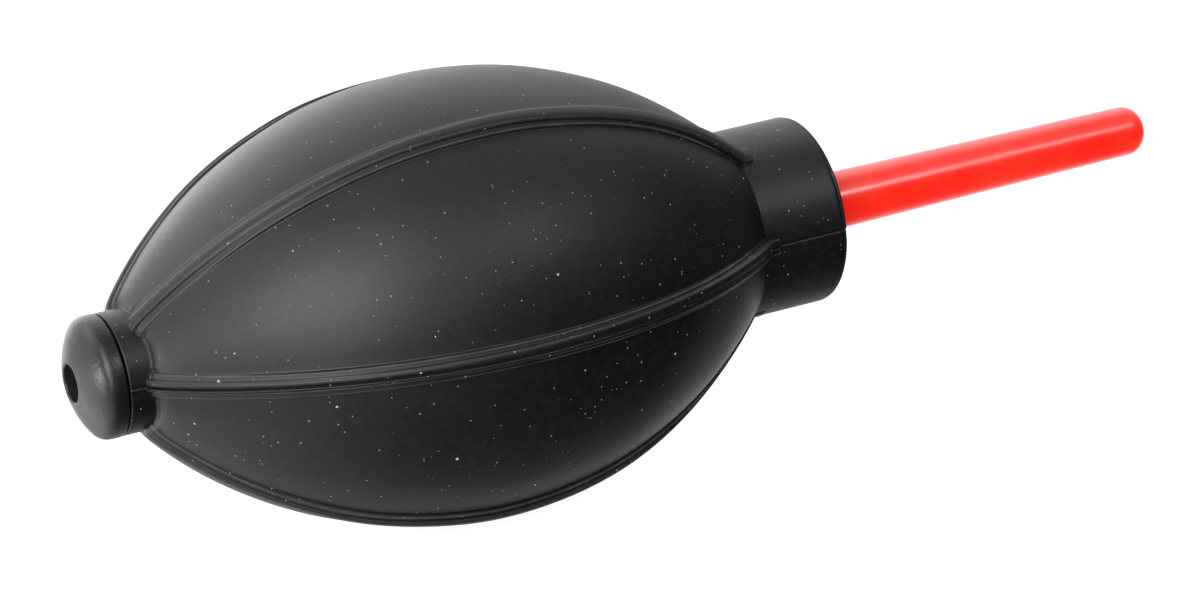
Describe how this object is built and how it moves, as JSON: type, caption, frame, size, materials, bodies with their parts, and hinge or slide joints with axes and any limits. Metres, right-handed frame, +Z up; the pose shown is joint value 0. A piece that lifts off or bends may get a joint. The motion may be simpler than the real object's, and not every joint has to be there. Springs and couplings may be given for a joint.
{
  "type": "dust blower",
  "caption": "Hand-squeezed air blower: ribbed lemon-shaped rubber bulb with a thick collar, a tapered nozzle tube and a domed air-intake cap at the tail.",
  "frame": {"origin": "middle of the overall length, on the surface the bulb lies on, straight below the bulb's axis", "axes": "+X along the bulb's axis, the way the air leaves the nozzle; +Z up from the surface the bulb lies on; +Y across"},
  "size_m": [0.1562, 0.0594, 0.057],
  "materials": {
    "black_rubber": "matte, fine grain, dusted with pale specks",
    "black_plastic": "satin moulded plastic",
    "red_plastic": "soft-gloss moulded plastic",
    "valve_rubber": "smooth milky silicone",
    "filter_foam": "open-cell foam",
    "spring_steel": "drawn wire"
  },
  "bodies": {
    "bulb": {"bulb": "black_rubber"},
    "thumb_side": {"thumb_pad": "black_rubber"},
    "finger_side": {"finger_pad": "black_rubber"},
    "nozzle_unit": {"nozzle_socket": "black_plastic", "outlet_valve_spring": "spring_steel", "outlet_valve_keeper": "black_plastic"},
    "outlet_flap": {"outlet_valve_disc": "valve_rubber"},
    "nozzle": {"nozzle": "red_plastic", "nozzle_seal": "black_rubber"},
    "valve_unit": {"intake_cap": "black_plastic", "filter_disc": "filter_foam", "filter_ring": "black_plastic", "valve_barrel": "black_plastic", "intake_valve_spring": "spring_steel", "valve_cage": "black_plastic"},
    "intake_flap": {"intake_valve_disc": "valve_rubber"}
  },
  "joints": [
    {"name": "squeeze_thumb", "type": "slide", "parent": "bulb", "child": "thumb_side", "axis": [0, 0, -1], "range_m": [0, 0.009], "stiffness_N_per_m": 3500},
    {"name": "squeeze_fingers", "type": "slide", "parent": "bulb", "child": "finger_side", "axis": [0, 0, 1], "range_m": [0, 0.009], "stiffness_N_per_m": 3500},
    {"name": "nozzle_unit_pull", "type": "slide", "parent": "bulb", "child": "nozzle_unit", "axis": [1, 0, 0], "range_m": [0, 0.012]},
    {"name": "outlet_valve_open", "type": "slide", "parent": "nozzle_unit", "child": "outlet_flap", "axis": [1, 0, 0], "range_m": [0, 0.001], "stiffness_N_per_m": 20, "deforming": ["outlet_valve_spring"]},
    {"name": "nozzle_turn", "type": "hinge", "parent": "nozzle_unit", "child": "nozzle", "pos_m": [0.02, 0, 0.0285], "axis": [1, 0, 0], "continuous": true},
    {"name": "valve_unit_pull", "type": "slide", "parent": "bulb", "child": "valve_unit", "axis": [-1, 0, 0], "range_m": [0, 0.014]},
    {"name": "intake_valve_open", "type": "slide", "parent": "valve_unit", "child": "intake_flap", "axis": [1, 0, 0], "range_m": [0, 0.0012], "stiffness_N_per_m": 20, "deforming": ["intake_valve_spring"]}
  ],
  "couplings": [
    {"joint": "squeeze_fingers", "follows": "squeeze_thumb", "ratio": 1}
  ]
}
